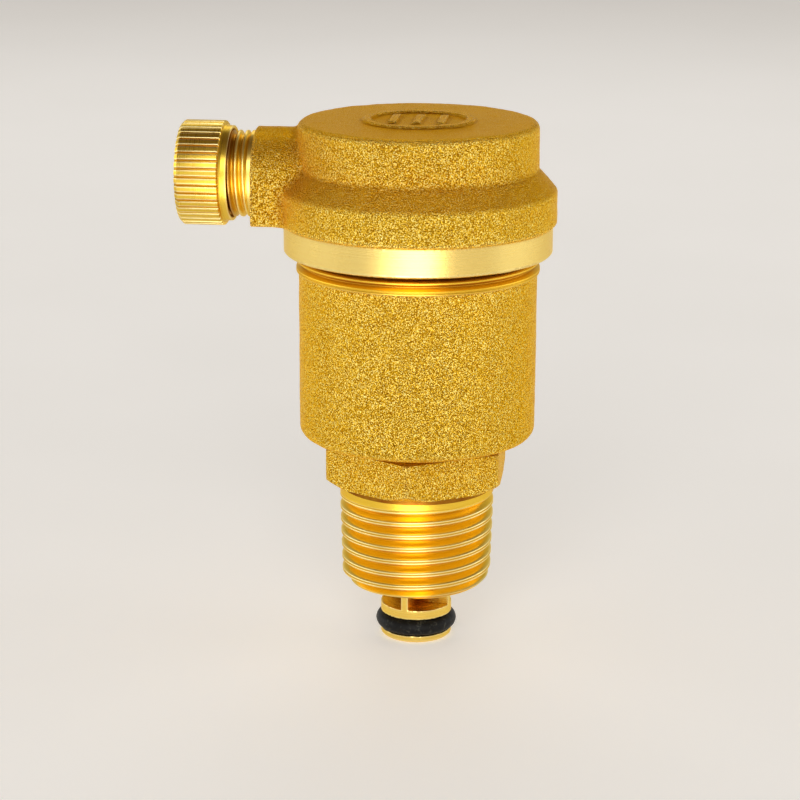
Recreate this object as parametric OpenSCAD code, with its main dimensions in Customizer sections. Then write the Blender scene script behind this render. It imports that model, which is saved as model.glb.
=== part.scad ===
// Automatic air vent with a side outlet, a screwed bonnet, a float and lever
// mechanism and a spring-loaded shut-off plunger in its inlet stub.
// Origin: axis of the inlet thread, on the flat underside of the wrench hexagon.
// +Z points up through the float chamber. The side outlet points along -X.

/* [Inlet stub and hexagon] */
// Gauge diameter of the tapered inlet thread (1/2 inch pipe size)
thread_gauge_d = 20.955; // [20.9:0.005:21.0]
// Pitch of the inlet thread
thread_pitch = 1.814; // [1.80:0.002:1.83]
// Length of the inlet stub below the hexagon
stub_len = 14.75; // [14.4:0.05:15.2]
// Height of the turned band between the hexagon and the first thread
stub_band = 1.9; // [1.8:0.05:2.0]
// Width across the flats of the hexagon
hex_af = 23.4; // [23:0.1:24]
// Height of the hexagon
hex_h = 5.25; // [4.8:0.05:5.6]

/* [Float chamber] */
// Height of the chamber's underside, above a short neck
under_z = 6.4; // [6.2:0.1:6.6]
// Outer diameter of the cast chamber
chamber_d = 32.0; // [31.6:0.1:32.4]
// Diameter of the chamber's bore
chamber_bore_d = 27.0; // [26.6:0.1:27.4]
// Height of the machined lip's lower edge
lip_z = 29.1; // [28.8:0.1:29.1]
// Diameter of the machined lip
lip_d = 32.7; // [32.4:0.1:33]

/* [Bonnet] */
// Diameter of the machined band at the bonnet's foot
band_d = 36.0; // [35.6:0.1:36.4]
// Diameter of the cast flange above the band
flange_d = 37.0; // [36.8:0.1:37.4]
// Diameter of the dome
dome_d = 32.0; // [31.6:0.1:32.4]
// Height of the bonnet's flat top
top_z = 49.0; // [48.9:0.1:49.6]
// Height of the raised ring and bars on the top
mark_h = 0.35; // [0.2:0.05:0.5]

/* [Side outlet] */
// Height of the outlet's axis
outlet_z = 41.4; // [41.3:0.05:41.5]
// Distance of the boss's flat end from the main axis
boss_x = 21.6; // [21.3:0.1:21.9]
// Half width of the arched boss
boss_r = 6.75; // [6.6:0.05:6.9]
// Outer diameter of the outlet thread
nozzle_d = 11.6; // [11.4:0.05:11.7]
// Pitch of the outlet thread
nozzle_pitch = 1.0; // [1.0]
// Diameter of the knurled cap over its ribs
cap_d = 14.0; // [13.8:0.1:14.4]
// Number of ribs round the cap
cap_ribs = 40; // [36:1:44]

/* [Float and lever] */
// Outer diameter of the float
float_d = 24.0; // [23:0.1:24.6]
// Swing of the lever between open and closed, in degrees
lever_swing = 16; // [16]

/* [Shut-off plunger] */
// Diameter of the plunger's cage
plunger_d = 9.8; // [9.76:0.01:9.84]
// Thickness of the cage's four vanes
leg_w = 1.0; // [0.7:0.05:1.2]
// Outer diameter of the plunger's sealing ring
ring_od = 11.12; // [11.1:0.01:11.14]

/* [Hidden] */
$fn = 96;

gap = 0.02;                 // gap between neighbouring pieces

// Inlet stub and chamber
gauge_h = 8.2;              // gauge plane above the stub's end
stub_bore_r = 7.4;          // bore that holds the plunger's guide bush
spring_bore_r = 6.3;        // bore round the plunger's spring
floor_z = 8.2;              // chamber floor
floor_under_z = 6.2;        // underside of the floor, seat of the spring
inlet_r = 3.9;              // passage through the floor
neck_top_z = 36.2;          // top of the chamber's threaded neck
neck_thread_r = 15.5;       // crest of the neck's thread

// Bonnet
bonnet_bore_r = 15.6;       // bonnet's threaded bore, clear of the crests
dome_bore_r = 13.6;
band_top_z = 35.4;
roof_z = 46.2;              // inside of the bonnet's roof
seat_z = 38.2;              // bonnet's shoulder above the sealing ring

// Side outlet: distances are from the main axis, towards -X
seat_x = 10.9;              // face of the nozzle seat
pocket_x = 12.9;            // outer end of the seat's pocket
pocket_r = 2.2;
nose_x = 16.2;              // step from the nozzle's shank to its nose
nose_r = 2.9;
shank_r = 4.55;
nozzle_end_x = 29.0;
cap_bore_end_x = 30.22;     // closed end of the cap's bore
cap_bore_r = 5.9;

// Lever, bracket and float
pivot_x = -8.6;             // lever's hinge pin
pivot_z = 38.0;
arm_len = 8.6;              // hinge pin to link pin
arm_angle = lever_swing / 2; // arm above level when closed, below at rest
link_x = pivot_x + arm_len * cos(arm_angle);
link_closed_z = pivot_z + arm_len * sin(arm_angle);
link_rest_z = pivot_z - arm_len * sin(arm_angle);
cup_r = 1.95;               // bore of the seal pad's cup
cup_floor_x = 9.0;          // distance of the cup's floor from the main axis
ear_y = 2.75;               // inner face of the bracket's ears
ear_w = 0.8;
plate_z = 45.3;             // underside of the bracket's plate
screw_places = [-4.2, 1.8]; // x of the bracket's screws
screw_r = 0.95;
float_r = float_d / 2;
float_wall = 1.1;
float_rim_z = 31.5;
hanger_w = 4;
hanger_t = 1.2;
hanger_foot_z = 32.6;       // floor of the lid's slot
rivet_z = 33.8;
rivet_r = 0.5;

// Plunger
plunger_r = plunger_d / 2;
plunger_shoulder_z = -6.8;  // lower seat of the spring
guide_top_z = -4.85;
guide_bottom_z = -14.45;
guide_step_z = -7.8;        // shoulder the plunger's head rests on
window_z = -18.2;           // lower end of the cage's windows
window_h = 4.7;
ring_z = -20.8;             // centre of the plunger's sealing ring
ring_r = 1.13;              // radius of that ring's section
disc_z = -22.0;             // top of the plunger's end disc
plunger_end_z = -22.9;

// Crest radius of the inlet thread at height z: taper 1 in 16 on diameter.
function crest_r(z) = thread_gauge_d / 2 + (z + stub_len - gauge_h) / 32;

// Points of an arc in the r-z half plane, from angle a0 to a1.
function arc(centre_r, centre_z, r, a0, a1, steps = 6) =
    [for (i = [0:steps]) let(a = a0 + (a1 - a0) * i / steps)
        [centre_r + r * cos(a), centre_z + r * sin(a)]];

// Outer profile of one thread ridge, from its lower root to its upper root.
// half_flat is half the width of its flat crest.
function ridge(crest, z, depth, half_flat) =
    let(reach = half_flat + depth * tan(27.5))
    [[crest - depth, z - reach], [crest, z - half_flat],
     [crest, z + half_flat], [crest - depth, z + reach]];

// Profile of a straight thread, its first ridge at start.
function straight_thread(crest, start, pitch, count, depth, half_flat) =
    [for (k = [0:count - 1])
        for (point = ridge(crest, start + k * pitch, depth, half_flat)) point];

// Closed outline of the knurl: flat-topped ribs round a circle.
function knurl(count, outer_r, root_r) =
    [for (i = [0:count - 1]) for (j = [0:3])
        let(a = 360 / count * (i + [-0.27, -0.15, 0.15, 0.27][j]),
            r = [root_r, outer_r, outer_r, root_r][j])
        [r * cos(a), r * sin(a)]];

// A solid of revolution round an axis along -X at the outlet's height. The
// profile's first value is a radius and its second the distance from the
// main axis.
module along_outlet() {
    translate([0, 0, outlet_z]) rotate([0, -90, 0]) rotate_extrude() children();
}

// A round bar on the outlet's axis, between two distances from the main axis.
module outlet_bar(r, inner, outer) {
    translate([-outer, 0, outlet_z]) rotate([0, 90, 0])
        cylinder(r = r, h = outer - inner);
}

// A round bar along Y, centred at x, z. It runs through everything by default.
module bar_y(x, z, r, y0 = -8, y1 = 8) {
    translate([x, y1, z]) rotate([90, 0, 0]) cylinder(r = r, h = y1 - y0);
}

// A round bar on the main axis.
module bar_z(r, z0, z1) {
    translate([0, 0, z0]) cylinder(r = r, h = z1 - z0);
}

// Places parts drawn round the origin at the hinge pin, turned by angles.
module at_pivot(angles) {
    translate([pivot_x, 0, pivot_z]) rotate(angles) children();
}

// Places the lever's parts, drawn at the closed position with the pad flat on
// the seat, at their rest position with the float down.
module at_rest() {
    at_pivot([0, lever_swing, 0]) translate([-pivot_x, 0, -pivot_z]) children();
}

// Turned outside of the stub, chamber and neck: [radius, height].
module chamber_outline() {
    wall_r = chamber_d / 2;
    corner_r = 1.1;
    lip_r = lip_d / 2;
    lip_top_z = lip_z + 0.55;
    ridge_h = 0.64 * thread_pitch;
    first_ridge_z = -stub_band - 1.15;
    inlet_thread = [for (k = [5:-1:0]) let(z = first_ridge_z - k * thread_pitch)
        for (point = ridge(crest_r(z), z, ridge_h, 0.18)) point];
    polygon(concat(
        [[0, -stub_len], [9.1, -stub_len], [9.75, -13.9], [9.1, -13.45],
         [9.1, -13.2]],
        inlet_thread,
        [[10.5, -stub_band], [10.5, 0.5], [11, 0.5], [11, under_z]],
        arc(wall_r - corner_r, under_z + corner_r, corner_r, -90, 0),
        [[wall_r, lip_z], [lip_r, lip_z], [lip_r, lip_top_z],
         [15.7, lip_top_z], [15.7, 30.5], [15.2, 30.8], [15.2, 31.9],
         [14.9, 32.1]],
        straight_thread(neck_thread_r, start = 32.6, pitch = 1, count = 4,
            depth = 0.6, half_flat = 0.12),
        [[14.6, neck_top_z], [0, neck_top_z]]));
}

// Wrench hexagon, its corners chamfered below and slightly above.
module hexagon() {
    cut_r = 15;             // beyond the hexagon's corners
    difference() {
        rotate([0, 0, 30]) cylinder(d = hex_af / cos(30), h = hex_h, $fn = 6);
        for (a = [30:60:330]) rotate([0, 0, a]) rotate([90, 0, 0])
            linear_extrude(height = 20, center = true) {
                polygon([[11.44, -0.5], [cut_r, 2.0], [cut_r, -0.5]]);
                polygon([[12.3, hex_h + 0.5], [cut_r, hex_h + 0.5],
                    [cut_r, hex_h - 1.19]]);
            }
    }
}

module float_chamber() {
    cut_z = -20;            // below the stub's end
    color("goldenrod") difference() {
        union() {
            rotate_extrude() chamber_outline();
            hexagon();
        }
        bar_z(chamber_bore_d / 2, floor_z, floor_z + 40);
        bar_z(inlet_r, 0, 20);
        bar_z(spring_bore_r, cut_z, floor_under_z);
        bar_z(stub_bore_r, cut_z, -4.8);
    }
}

// Outside of the bonnet: [radius, height].
module bonnet_outline() {
    foot_z = 31.6;
    chamfer = 0.25;
    band_r = band_d / 2;
    flange_r = flange_d / 2;
    dome_r = dome_d / 2;
    edge_r = 1.0;           // flange's upper edge and the fillet above it
    top_edge_r = 0.9;
    polygon(concat(
        [[0, foot_z], [band_r - chamfer, foot_z], [band_r, foot_z + chamfer],
         [band_r, band_top_z], [flange_r - 0.3, 35.45], [flange_r, 35.75]],
        arc(flange_r - edge_r, 39.1, edge_r, 0, 48, 4),
        arc(dome_r + edge_r, 43.1, edge_r, 228, 180, 4),
        arc(dome_r - top_edge_r, top_z - top_edge_r, top_edge_r, 0, 90),
        [[0, top_z]]));
}

// Arched boss of the side outlet.
module outlet_boss() {
    arch_z = outlet_z - 0.4;
    translate([-boss_x, 0, 0]) rotate([90, 0, 90])
        linear_extrude(height = boss_x - 10) union() {
            translate([0, arch_z]) circle(r = boss_r);
            translate([-boss_r, band_top_z])
                square([2 * boss_r, arch_z - band_top_z]);
        }
}

// Raised ring and bars on the flat top, sunk a little into it.
module top_marks() {
    sink = 0.2;
    bar_w = 1.1;
    bar_len = 6.4;
    translate([0, 0, top_z - sink]) {
        difference() {
            cylinder(r = 7.4, h = mark_h + sink);
            translate([0, 0, -1]) cylinder(r = 6.3, h = 3);
        }
        for (x = [-3.2, 0, 3.2]) translate([x - bar_w / 2, -bar_len / 2, 0])
            cube([bar_w, bar_len, mark_h + sink]);
    }
}

module bonnet() {
    cut_z = 30;             // below the bonnet's foot
    fit = 0.05;             // clearance round the nozzle
    color("goldenrod") difference() {
        union() {
            rotate_extrude() bonnet_outline();
            outlet_boss();
            top_marks();
        }
        // threaded bore, sealing shoulder and dome
        bar_z(bonnet_bore_r, cut_z, seat_z);
        bar_z(dome_bore_r, cut_z, roof_z);
        // stepped bore for the nozzle's shank and nose
        outlet_bar(shank_r + fit, nose_x - 0.1, 30);
        outlet_bar(nose_r + fit, 10, 30);
        // blind holes for the bracket's screws
        for (x = screw_places) translate([x, 0, 0])
            bar_z(screw_r + gap, roof_z - 1, roof_z + 1.6);
    }
}

module bonnet_seal_ring() {
    color("dimgray") rotate_extrude() translate([14.6, seat_z - 1.0])
        circle(r = 0.97);
}

module vent_nozzle() {
    crest = nozzle_d / 2;
    relief_r = crest - 0.05; // plain part between the boss and the thread
    face_x = boss_x + 0.01;
    color("gold") difference() {
        along_outlet() polygon(concat(
            [[0, 11.4], [nose_r - 0.2, 11.4], [nose_r, 11.6],
             [nose_r, nose_x], [shank_r - 0.15, nose_x],
             [shank_r, nose_x + 0.15], [shank_r, face_x],
             [relief_r, face_x], [relief_r, boss_x + 0.7]],
            straight_thread(crest, start = boss_x + 1.35, pitch = nozzle_pitch,
                count = 6, depth = 0.58, half_flat = 0.07),
            [[crest - 0.65, 28.4], [crest - 1.0, nozzle_end_x],
             [0, nozzle_end_x]]));
        // air passage and the seat's pocket
        outlet_bar(1.2, 5, 30);
        outlet_bar(pocket_r, pocket_x - 5, pocket_x);
    }
}

module nozzle_seat() {
    bore_r = 0.75;
    rim_r = pocket_r - gap;
    end_x = pocket_x - gap;
    color("silver") along_outlet() polygon([[bore_r, seat_x], [1.05, seat_x],
        [1.35, 11.35], [rim_r, 11.35], [rim_r, end_x], [bore_r, end_x]]);
}

module vent_cap() {
    r = cap_d / 2;
    end_r = r - 0.36;
    mouth_r = r - 0.2;
    rib_start_x = 25.95;
    rib_end_x = 31.4;
    color("gold") {
        difference() {
            union() {
                translate([-rib_end_x, 0, outlet_z]) rotate([0, 90, 0])
                    linear_extrude(height = rib_end_x - rib_start_x)
                        polygon(knurl(cap_ribs, r, r - 0.3));
                // plain end beyond the ribs
                along_outlet() polygon([[0, 31.3], [end_r, 31.3],
                    [end_r, rib_end_x], [r - 0.6, 31.8], [0, 31.8]]);
            }
            outlet_bar(cap_bore_r, cap_bore_end_x - 10, cap_bore_end_x);
        }
        // plain neck at the cap's mouth
        along_outlet() polygon([[cap_bore_r, 24.85], [6.35, 24.85],
            [6.5, 24.95], [mouth_r, 25.75], [mouth_r, 26.3],
            [cap_bore_r, 26.3]]);
    }
}

module cap_washer() {
    color("dimgray")
        outlet_bar(5.6, nozzle_end_x + gap, cap_bore_end_x - gap);
}

module lever_bracket() {
    plate_w = 2 * (ear_y + ear_w);
    color("silver") difference() {
        union() {
            // plate under the roof
            translate([-10.9, -plate_w / 2, plate_z])
                cube([15.3, plate_w, roof_z - gap - plate_z]);
            // two ears, rounded below the hinge pin
            for (y = [-ear_y - ear_w, ear_y]) {
                translate([-10.7, y, pivot_z]) cube([4.2, ear_w, 7.6]);
                bar_y(pivot_x, pivot_z, 2.1, y, y + ear_w);
            }
        }
        bar_y(pivot_x, pivot_z, 0.77);
        for (x = screw_places) translate([x, 0, 0]) bar_z(1.1, 40, 50);
    }
}

module bracket_screws() {
    head_r = 1.9;
    head_top_z = plate_z - gap;
    slot_w = 0.44;
    color("silver") for (x = screw_places) translate([x, 0, 0]) difference() {
        rotate_extrude() polygon([[0, 44.1], [1.5, 44.1], [head_r, 44.5],
            [head_r, head_top_z], [screw_r, head_top_z], [screw_r, 47.4],
            [0.6, 47.7], [0, 47.7]]);
        translate([-2.5, -slot_w / 2, 43.9]) cube([5, slot_w, 0.75]);
    }
}

module lever() {
    arm_w = 3.8;
    arm_t = 1.6;
    fork_start = 5.0;       // distance from the hinge pin
    prong_w = 1.0;
    cup_inner_x = 7.4;
    color("khaki") at_rest() difference() {
        union() {
            bar_y(pivot_x, pivot_z, 1.6, -2.6, 2.6);
            // upright with the pad's cup
            translate([-9.2, -1.6, pivot_z]) cube([1.8, 3.2, 3.4]);
            outlet_bar(2.5, cup_inner_x, 9.9);
            // arm to the float
            at_pivot([0, -arm_angle, 0])
                translate([0, -arm_w / 2, -arm_t / 2]) cube([6.2, arm_w, arm_t]);
            // fork
            for (y = [-arm_w / 2, arm_w / 2 - prong_w]) {
                at_pivot([0, -arm_angle, 0])
                    translate([fork_start, y, -arm_t / 2])
                        cube([arm_len - fork_start, prong_w, arm_t]);
                bar_y(link_x, link_closed_z, 1.3, y, y + prong_w);
            }
        }
        bar_y(pivot_x, pivot_z, 0.8);
        bar_y(link_x, link_closed_z, 0.62);
        outlet_bar(cup_r, cup_floor_x, 10.5);
    }
}

// Head on the -Y side, groove for the clip on the +Y side.
module lever_pin() {
    pin_r = 0.75;
    groove_r = 0.58;
    head_y = -ear_y - ear_w - gap;
    color("silver") at_pivot([-90, 0, 0]) rotate_extrude()
        polygon([[0, -4.2], [1.1, -4.2], [1.3, -4.0], [1.3, head_y],
            [pin_r, head_y], [pin_r, 3.6], [groove_r, 3.62], [groove_r, 4.02],
            [pin_r, 4.05], [pin_r, 4.4], [0.6, 4.55], [0, 4.55]]);
}

// Open ring, its mouth towards +X.
module lever_pin_clip() {
    mouth_w = 1.0;
    color("silver") at_pivot([-90, 0, 0]) difference() {
        bar_z(1.6, 3.63, 4.01);
        bar_z(0.6, 3, 5);
        translate([0, -mouth_w / 2, 3]) cube([3, mouth_w, 2]);
    }
}

module seal_pad() {
    color("dimgray") at_rest()
        outlet_bar(cup_r - gap, cup_floor_x + gap, seat_x - gap);
}

module link_pin() {
    color("silver") at_rest() bar_y(link_x, link_closed_z, 0.6, -2.2, 2.2);
}

module float_shell() {
    bottom_z = 9.3;
    floor_top_z = bottom_z + float_wall;
    inner_r = float_r - float_wall;
    outer_corner = 1.5;
    inner_corner = 0.5;
    color("ivory") union() {
        rotate_extrude() polygon(concat([[0, bottom_z]],
            arc(float_r - outer_corner, bottom_z + outer_corner, outer_corner,
                -90, 0),
            [[float_r, float_rim_z], [inner_r, float_rim_z]],
            arc(inner_r - inner_corner, floor_top_z + inner_corner,
                inner_corner, 0, -90, 3),
            [[0, floor_top_z]]));
        // three feet
        for (a = [30, 150, 270]) rotate([0, 0, a]) translate([9, 0, 8.3])
            cylinder(r = 1.0, h = 1.3);
    }
}

module float_lid() {
    plug_r = float_r - float_wall - gap;
    groove_r = float_r - 2.2; // inside of the rim that enters the shell
    rim_z = float_rim_z + gap;
    slot_len = hanger_w + 2 * gap;
    slot_w = hanger_t + 2 * gap;
    color("ivory") difference() {
        rotate_extrude() polygon([[0, 31.8], [groove_r, 31.8],
            [groove_r, 29.8], [plug_r, 29.8], [plug_r, rim_z],
            [float_r, rim_z], [float_r, 32.3], [float_r - 0.7, 33.0],
            [3.2, 33.0], [3.0, 34.6], [0, 34.6]]);
        translate([-slot_len / 2, -slot_w / 2, hanger_foot_z])
            cube([slot_len, slot_w, 4]);
        bar_y(0, rivet_z, rivet_r + gap);
    }
}

module float_hanger() {
    foot_z = hanger_foot_z + gap;
    slot_x = 0.9;           // centres of the slot's round ends
    slot_r = 0.7;
    color("silver") translate([0, hanger_t / 2, 0]) rotate([90, 0, 0])
        linear_extrude(height = hanger_t) difference() {
            union() {
                translate([-hanger_w / 2, foot_z])
                    square([hanger_w, link_rest_z - foot_z]);
                translate([0, link_rest_z]) circle(r = hanger_w / 2);
            }
            // slot for the link pin
            translate([-slot_x, link_rest_z - slot_r])
                square([2 * slot_x, 2 * slot_r]);
            for (x = [-slot_x, slot_x]) translate([x, link_rest_z])
                circle(r = slot_r);
            translate([0, rivet_z]) circle(r = rivet_r + gap);
        }
}

module hanger_rivet() {
    color("silver") bar_y(0, rivet_z, rivet_r, -2.6, 2.6);
}

module shutoff_plunger() {
    disc_r = plunger_r - gap;
    chamfer = 0.25;
    stem_r = 3.28;          // inside the sealing ring
    groove_top_z = -19.55;
    head_r = 5.9;
    head_z = guide_step_z + gap;
    spigot_r = 4.2;         // inside the spring
    spigot_top_z = -5.3;
    color("gold") difference() {
        rotate_extrude() polygon([[0, plunger_end_z],
            [plunger_r - chamfer, plunger_end_z],
            [disc_r, plunger_end_z + chamfer], [disc_r, disc_z],
            [stem_r, disc_z], [stem_r, groove_top_z],
            [plunger_r, groove_top_z], [plunger_r, head_z],
            [head_r, head_z], [head_r, plunger_shoulder_z],
            [spigot_r, plunger_shoulder_z], [spigot_r, spigot_top_z],
            [0, spigot_top_z]]);
        // flow passage above the vanes
        translate([0, 0, window_z + window_h - 0.01]) cylinder(r = 3.3, h = 20);
        // four windows between the vanes, which cross on the axis
        translate([0, 0, window_z]) difference() {
            cylinder(r = 5.5, h = window_h);
            translate([0, 0, -1]) for (a = [76.5, 166.5]) rotate([0, 0, a])
                translate([-8, -leg_w / 2, 0]) cube([16, leg_w, 8]);
        }
    }
}

module plunger_o_ring() {
    color("dimgray") rotate_extrude() translate([ring_od / 2 - ring_r, ring_z])
        circle(r = ring_r);
}

// Tube of round wire along a helix, as one closed mesh: n sections to a turn,
// m points round the wire.
module coil(coil_r, wire_r, z0, z1, turns, n = 20, m = 8) {
    steps = floor(turns * n);
    points = [for (i = [0:steps]) for (j = [0:m - 1])
        let(turn = 360 * turns * i / steps, b = 360 * j / m,
            r = coil_r + wire_r * cos(b),
            z = z0 + (z1 - z0) * i / steps + wire_r * sin(b))
        [r * cos(turn), r * sin(turn), z]];
    sides = [for (i = [0:steps - 1]) for (j = [0:m - 1]) let(k = (j + 1) % m)
        [i * m + j, i * m + k, (i + 1) * m + k, (i + 1) * m + j]];
    ends = [[for (j = [m - 1:-1:0]) j], [for (j = [0:m - 1]) steps * m + j]];
    polyhedron(points = points, faces = concat(sides, ends), convexity = 8);
}

module plunger_spring() {
    inset = 0.38;           // wire's centre from each seat
    color("silver") coil(coil_r = 5.0, wire_r = 0.35,
        z0 = plunger_shoulder_z + inset, z1 = floor_under_z - inset,
        turns = 6.5);
}

module plunger_guide() {
    outer_r = stub_bore_r - gap;
    upper_bore_r = 6.2;
    lower_bore_r = 5.0;
    color("gold") rotate_extrude() polygon([[6.2, guide_bottom_z],
        [7.1, guide_bottom_z], [outer_r, guide_bottom_z + 0.3],
        [outer_r, guide_top_z], [upper_bore_r, guide_top_z],
        [upper_bore_r, guide_step_z], [lower_bore_r, guide_step_z],
        [lower_bore_r, -12.85]]);
}

float_chamber();
bonnet();
bonnet_seal_ring();
vent_nozzle();
nozzle_seat();
vent_cap();
cap_washer();
lever_bracket();
bracket_screws();
lever();
lever_pin();
lever_pin_clip();
seal_pad();
link_pin();
float_shell();
float_lid();
float_hanger();
hanger_rivet();
shutoff_plunger();
plunger_o_ring();
plunger_spring();
plunger_guide();
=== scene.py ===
# A brass automatic air vent. Its main axis is Z: a cast float chamber with a hexagon and a
# tapered inlet thread below it, a shut-off plunger in that inlet, and a cast bonnet on top.
# The outlet nozzle and its knurled cap point along -X. The camera looks from the -Y side.
# Lengths are in millimetres; make_object writes meshes in metres.
import math

import bmesh
import bpy
import numpy as np
from mathutils import Matrix, Vector


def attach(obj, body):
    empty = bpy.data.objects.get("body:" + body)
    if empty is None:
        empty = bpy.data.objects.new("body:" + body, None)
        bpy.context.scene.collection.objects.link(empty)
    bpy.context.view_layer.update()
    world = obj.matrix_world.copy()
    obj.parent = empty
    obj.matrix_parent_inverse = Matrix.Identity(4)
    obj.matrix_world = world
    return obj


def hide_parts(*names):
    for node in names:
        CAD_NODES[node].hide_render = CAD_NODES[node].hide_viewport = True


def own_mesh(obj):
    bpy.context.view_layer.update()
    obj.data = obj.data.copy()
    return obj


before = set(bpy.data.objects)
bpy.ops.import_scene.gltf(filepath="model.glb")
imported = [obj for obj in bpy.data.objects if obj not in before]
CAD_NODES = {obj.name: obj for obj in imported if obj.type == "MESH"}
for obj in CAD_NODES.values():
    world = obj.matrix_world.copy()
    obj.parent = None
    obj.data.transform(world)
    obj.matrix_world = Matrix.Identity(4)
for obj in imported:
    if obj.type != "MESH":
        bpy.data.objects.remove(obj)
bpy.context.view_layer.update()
TAU = 2 * math.pi
MM = 0.001                    # metres in a millimetre

# ---------------------------------------------------------------- dimensions
OUTLET_Z = 41.4               # height of the outlet's axis
BOSS_X = 21.6                 # the bonnet's boss ends this far along -X
BOSS_R = 6.75

STUB_END = -14.75             # lower end of the threaded inlet stub
STUB_R = 10.56
THREAD_PITCH = 1.814
THREAD_R = 20.955 / 2         # crest radius at THREAD_R_HEIGHT above the stub's end
THREAD_R_HEIGHT = 8.2
THREAD_TAPER = 32             # rise for each unit the crest radius grows

HEX_TOP = 5.25
CHAMBER_R = 16.0
CHAMBER_BOTTOM = 6.4
CHAMBER_BORE_R = 13.5
SPRING_SEAT_Z = 6.2           # the spring's upper end
FLANGE_TOP = -6.8             # the spring's lower end, on the plunger's flange

BONNET_BASE = 35.42           # flat underside of the cast part
BONNET_R = 18.5
BONNET_TOP = 49.0
MARK_TOP = 49.35              # top of the raised ring and bars

NOZZLE_THREAD_R = 5.80
NOZZLE_THREAD_START = 22.2    # distances from the main axis
NOZZLE_END = 29.0
CAP_END = 31.80
FLOOR_Z = -22.95


# ------------------------------------------------------------- mesh helpers
def make_object(name, vertices, faces, materials, face_materials=None, smooth_angle=38.0):
    """A mesh object from vertices in millimetres."""
    mesh = bpy.data.meshes.new(name)
    points = np.asarray(vertices, float) * MM
    mesh.from_pydata([tuple(point) for point in points], [], [tuple(face) for face in faces])
    for material in materials:
        mesh.materials.append(material)
    if face_materials is not None:
        mesh.polygons.foreach_set("material_index", np.asarray(face_materials, np.int32))
    mesh.validate()
    mesh.shade_smooth()
    mesh.set_sharp_from_angle(angle=math.radians(smooth_angle))
    add_wear(mesh)
    obj = bpy.data.objects.new(name, mesh)
    bpy.context.scene.collection.objects.link(obj)
    return obj


def add_wear(mesh):
    """Stores how convex (+) or hollow (-) the surface is at each vertex, as
    mean curvature per millimetre, for edge wear and dirt in the materials."""
    vertex_count, edge_count = len(mesh.vertices), len(mesh.edges)
    places = np.empty(vertex_count * 3, np.float32)
    normals = np.empty(vertex_count * 3, np.float32)
    ends = np.empty(edge_count * 2, np.int32)
    mesh.vertices.foreach_get("co", places)
    mesh.vertices.foreach_get("normal", normals)
    mesh.edges.foreach_get("vertices", ends)
    places, normals = places.reshape(-1, 3) * 1000.0, normals.reshape(-1, 3)
    first, second = ends.reshape(-1, 2).T

    def gather(at_first, at_second):
        return np.bincount(first, at_first, minlength=vertex_count) \
            + np.bincount(second, at_second, minlength=vertex_count)

    along = places[first] - places[second]
    length_sq = np.maximum((along * along).sum(1), 0.06 ** 2)
    degree = np.maximum(np.bincount(ends, minlength=vertex_count), 1)
    curvature = gather(2 * (along * normals[first]).sum(1) / length_sq,
                       -2 * (along * normals[second]).sum(1) / length_sq)
    curvature = np.clip(curvature / degree, -3, 3)
    for _ in range(2):
        nearby = gather(curvature[second], curvature[first])
        curvature = 0.5 * curvature + 0.5 * nearby / degree
    attribute = mesh.attributes.new("wear", "FLOAT", "POINT")
    attribute.data.foreach_set("value", curvature.astype(np.float32))


def weld(vertices, quads, tolerance=2e-4):
    """Merges coincident vertices and drops the polygons that collapse.
    Returns vertices, faces and the quad each face came from."""
    # the small shift keeps round coordinates off the rounding boundary
    key = np.round((vertices + 0.0000713) / tolerance).astype(np.int64)
    _, first, merged = np.unique(key, axis=0, return_index=True, return_inverse=True)
    corners = merged.reshape(-1)[quads]
    same = corners == np.roll(corners, -1, axis=1)
    repeats = same.sum(1)
    faces, source = [], []
    for i in np.nonzero(repeats <= 1)[0]:
        face = corners[i]
        if repeats[i] == 0 and (face[0] == face[2] or face[1] == face[3]):
            continue
        faces.append(tuple(face[~same[i]]))
        source.append(i)
    return vertices[first], faces, np.array(source, int)


def fillet(corners, radii, segments=3):
    """Rounds the corners of T closed polylines, given as (T, K, 2), with K
    radii. Returns (T, M, 2) points and the corner each point belongs to."""
    count = corners.shape[1]
    segments = np.broadcast_to(segments, count)
    points, source = [], []
    for k in range(count):
        corner = corners[:, k]
        if radii[k] <= 0:
            points.append(corner[:, None])
            source.append(k)
            continue
        before = corners[:, k - 1] - corner
        after = corners[:, (k + 1) % count] - corner
        before_len = np.linalg.norm(before, axis=1, keepdims=True) + 1e-12
        after_len = np.linalg.norm(after, axis=1, keepdims=True) + 1e-12
        before, after = before / before_len, after / after_len
        cosine = np.clip((before * after).sum(1, keepdims=True), -0.999999, 0.999999)
        half = np.arccos(cosine) / 2
        # short sides limit the rounding
        trim = np.minimum(radii[k] / np.tan(half), 0.46 * np.minimum(before_len, after_len))
        middle = before + after
        middle = middle / np.maximum(np.linalg.norm(middle, axis=1, keepdims=True), 1e-9)
        centre = corner + middle * trim / np.cos(half)
        arm_start = corner + before * trim - centre
        arm_end = corner + after * trim - centre
        sweep = np.pi - 2 * half
        sine = np.maximum(np.sin(sweep), 1e-9)
        for i in range(segments[k] + 1):
            share = i / segments[k]
            point = centre + (np.sin((1 - share) * sweep) * arm_start
                              + np.sin(share * sweep) * arm_end) / sine
            points.append(point[:, None])
            source.append(k)
    return np.concatenate(points, 1), np.array(source)


def columns(corners, count):
    """(count, K, 2) array of K corners that start (r, z); r and z may be
    single values or one value for each of count angles."""
    return np.stack([np.stack([np.broadcast_to(value, (count,)) for value in corner[:2]], -1)
                     for corner in corners], 1)


def join_thread(thread, corners, radii, segments=3):
    """Closes a thread's rows with a profile rounded next to the thread's ends.
    Returns the profile and the corner of each point after the thread."""
    guarded = np.concatenate([corners, thread[:, :1], thread[:, -1:]], 1)
    rounded, source = fillet(guarded, radii + [0, 0], segments)
    keep = source < len(radii)
    return np.concatenate([thread, rounded[:, keep]], 1), source[keep]


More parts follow.
